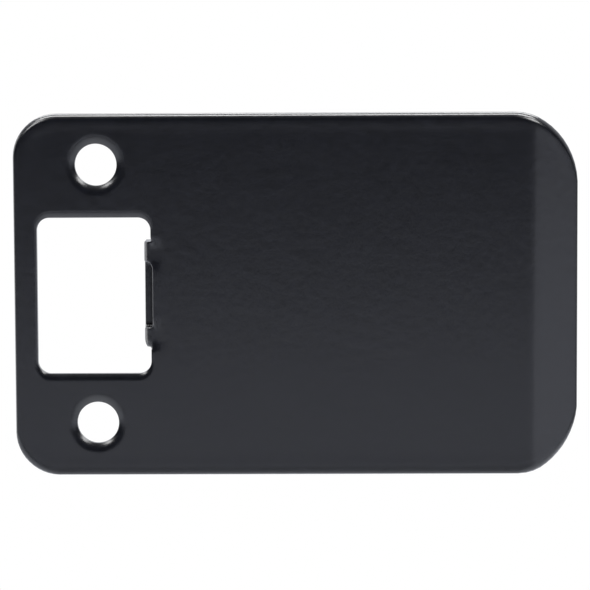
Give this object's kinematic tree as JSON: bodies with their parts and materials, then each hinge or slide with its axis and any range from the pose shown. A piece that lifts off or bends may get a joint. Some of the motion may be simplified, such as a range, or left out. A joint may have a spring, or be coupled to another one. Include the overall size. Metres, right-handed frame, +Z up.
{
  "type": "strike plate",
  "caption": "Extended-lip strike plate: flat plate with countersunk screw holes, a rectangular latch opening, an adjusting tang bent back from its edge, and a lip bent back at one end.",
  "frame": {"origin": "on the back face of the plate, half way between the two screw holes", "axes": "+X along the plate to the bent lip, +Y into the jamb, +Z up along the line of the screw holes"},
  "size_m": [0.0889, 0.008, 0.0572],
  "materials": {
    "powder_coat": "satin black powder coat with a faint orange peel"
  },
  "bodies": {
    "root": {"strike_plate": "powder_coat"}
  },
  "joints": []
}
